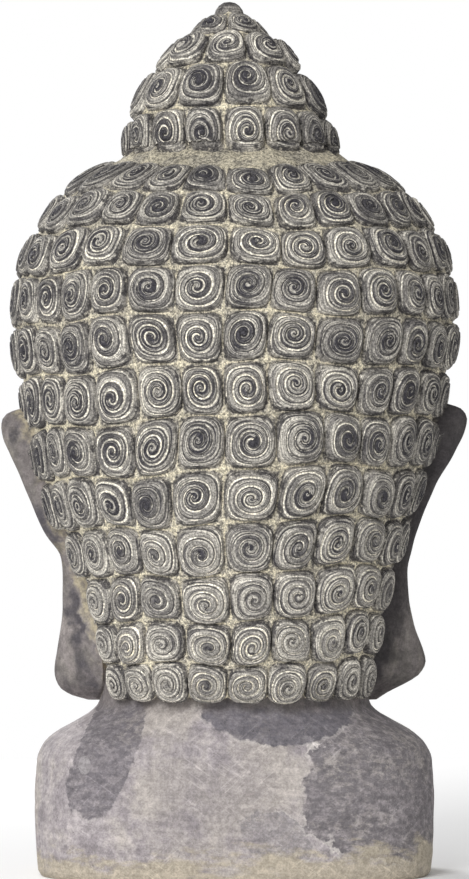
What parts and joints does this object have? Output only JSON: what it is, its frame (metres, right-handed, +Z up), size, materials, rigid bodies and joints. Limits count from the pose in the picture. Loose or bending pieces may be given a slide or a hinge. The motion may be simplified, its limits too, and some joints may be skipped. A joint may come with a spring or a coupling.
{
  "type": "buddha head statue",
  "caption": "Cast-stone buddha head statue with snail-shell curls in rows over the head and topknot, long ears, and a neck that widens into a flat-bottomed block.",
  "frame": {"origin": "centre of the flat underside of the block", "axes": "+Z up through the topknot; the face looks along -Y, so the back of the head, which the picture shows, looks along +Y"},
  "size_m": [0.3174, 0.3265, 0.6],
  "materials": {
    "stone": "weathered slate-grey cast stone, matt, with a cream lime wash left in the spiral grooves and between the curls, and slate patches on a paler block"
  },
  "bodies": {
    "root": {"buddha_head": "stone"}
  },
  "joints": []
}
